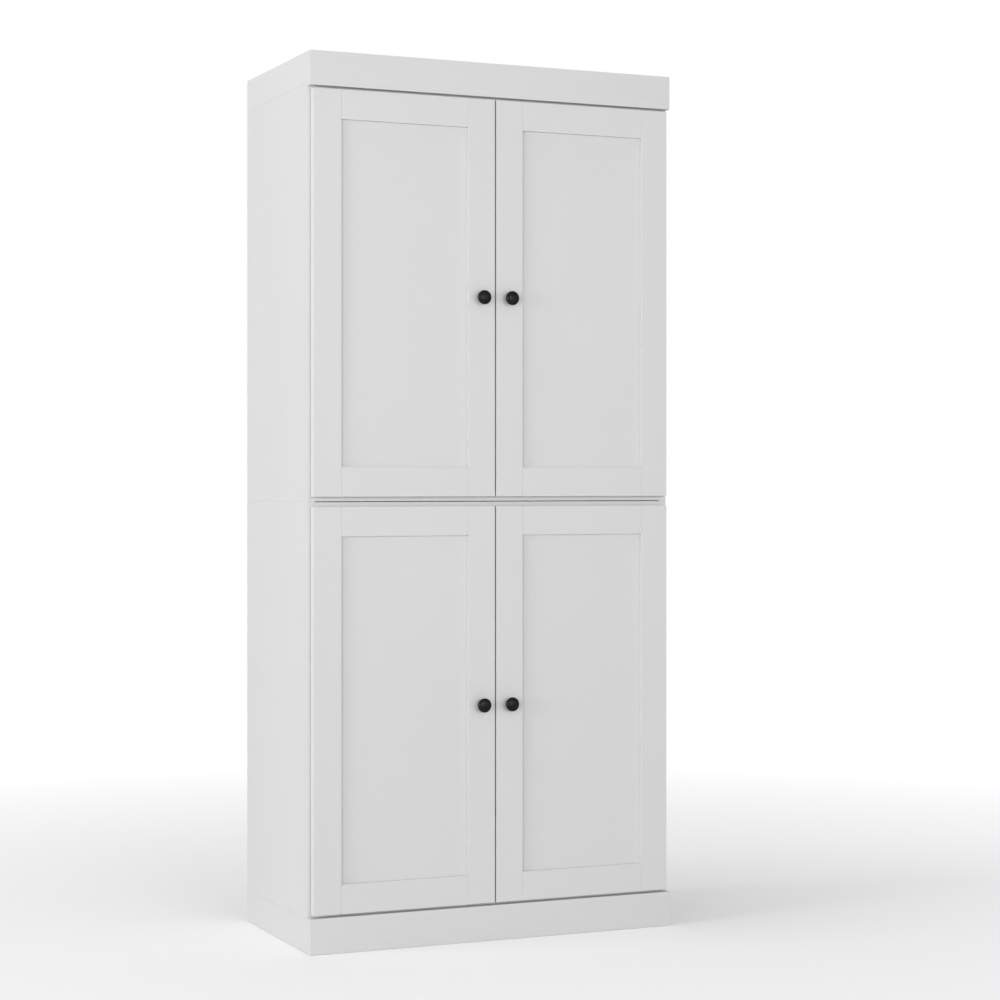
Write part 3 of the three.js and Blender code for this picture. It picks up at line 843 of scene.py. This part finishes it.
# Soft dots on the back of each door, where its free corners meet the case.
def bumpers(material):
    dot = mesh_of("bumper", smoothed(cap(BUMPER_RADIUS, BUMPER_THICKNESS, CAP_EDGE)))
    from_edge, from_end = BUMPER_INSET
    for level in LEVELS:
        for side in SIDES:
            door = f"{level}_{side}_door"
            low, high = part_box(f"{door}_meeting_stile")
            x = (high.x if side == "left" else low.x) - HAND[side] * from_edge
            heights = (low.z + from_end, high.z - from_end)
            build = repeated(dot, [facing((x, high.y, z), (0, 1, 0)) for z in heights])
            piece(f"{door}_bumpers", build, material, door)


# ---------------------------------------------------------------- hinges


# A copy of a CAD node, welded and carved, with its sharp outer edges rounded.
def refined(node, edge, cutters=()):
    build = bmesh.new()
    build.from_mesh(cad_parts[node].data)
    bmesh.ops.remove_doubles(build, verts=build.verts, dist=STEEL_WELD)
    build = carved(build, cutters)
    sharp = [e for e in build.edges if e.calc_face_angle_signed() > STEEL_SHARP_FROM]
    bmesh.ops.bevel(
        build,
        geom=sharp,
        offset=edge,
        segments=2,
        profile=0.5,
        affect="EDGES",
        clamp_overlap=True,
        loop_slide=False,
    )
    return build


# Where a hinge is: a function from its own directions to the frame.
def hinge_place(level, side, place):
    low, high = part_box(f"{level}_{side}_{place}_hinge_arm")
    stile_low, stile_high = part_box(f"{level}_{side}_door_hinge_stile")
    edge = stile_low.x if side == "left" else stile_high.x
    middle = (low.z + high.z) / 2

    def at(x, y, z):
        return Vector((edge + HAND[side] * x, stile_high.y + y, middle + z))

    return at


# A slot with round ends, as a cutter that goes into the arm's face.
def slot_cutter(at, y):
    half = (ARM_SLOT_LENGTH - ARM_SLOT_WIDTH) / 2
    radius = ARM_SLOT_WIDTH / 2
    far_end = arc(half, 0, radius, radius, -90, 90, ARM_SLOT_STEPS)
    near_end = arc(-half, 0, radius, radius, 90, 270, ARM_SLOT_STEPS)

    def placed(along, across, x):
        return at(x, y + along, across)

    ends = (ARM_FACE_X - ARM_SLOT_DEPTH, ARM_FACE_X + ARM_SLOT_DEPTH)
    return prism(far_end + near_end, ends, placed)


def hinge(level, side, place, cup_steel, arm_steel, screw):
    name = f"{level}_{side}_{place}_hinge"
    door = f"{level}_{side}_door"
    at = hinge_place(level, side, place)
    inwards = (HAND[side], 0, 0)
    back = (0, 1, 0)

    build = smoothed(refined(f"{name}_cup", STEEL_EDGE))
    cup = piece(f"{name}_pressed_cup", build, cup_steel, door)
    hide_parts(f"{name}_cup")
    zs = (-FLANGE_SCREW_Z, FLANGE_SCREW_Z)
    places = [facing(at(FLANGE_SCREW_X, FLANGE_FACE_Y, z), back) for z in zs]
    piece(f"{name}_cup_screws", repeated(screw, places), arm_steel, door)

    slots = [slot_cutter(at, y) for y in ARM_SCREW_YS]
    build = smoothed(refined(f"{name}_arm", STEEL_EDGE, slots))
    arm = piece(f"{name}_pressed_arm", build, arm_steel, "cabinet")
    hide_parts(f"{name}_arm")
    zs = (-WING_SCREW_Z, WING_SCREW_Z)
    places = [facing(at(WING_FACE_X, WING_SCREW_Y, z), inwards) for z in zs]
    places += [facing(at(ARM_FACE_X - ARM_SLOT_DEPTH, y, 0), inwards) for y in ARM_SCREW_YS]
    piece(f"{name}_plate_screws", repeated(screw, places), cup_steel, "cabinet")


# ---------------------------------------------------------------- making it


def make_cabinet():
    along_x = laminate("laminate_x", 0, JOINT_PAINTED_SHADE)
    along_y = laminate("laminate_y", 1, RETURN_JOINT_PAINTED_SHADE)
    along_z = laminate("laminate_z", 2, JOINT_PAINTED_SHADE)
    nickel_z = nickel("nickel_z", 2)
    nickel_y = nickel("nickel_y", 1)
    small_screw = screw_mesh("small_screw", *SMALL_SCREW)
    large_screw = screw_mesh("large_screw", *LARGE_SCREW)

    finish_boards(along_x, along_y, along_z, lacquer("door_lacquer"), hardboard())
    base_rear_rail(along_x)
    corner_blocks(plastic("block_plastic", WHITE, 0), small_screw, nickel_z)
    shelf_pins(nickel_y)
    case_bolts(nickel_z, small_screw)
    top_cams(nickel_z)
    knobs(black_enamel(), nickel_z, large_screw)
    bumpers(plastic("bumper_plastic", BUMPER_GREY, 0.25))
    for level in LEVELS:
        for side in SIDES:
            for place in HINGE_PLACES:
                hinge(level, side, place, nickel_z, nickel_y, small_screw)


make_camera()
make_world()
make_floor()
make_lights()
make_cabinet()
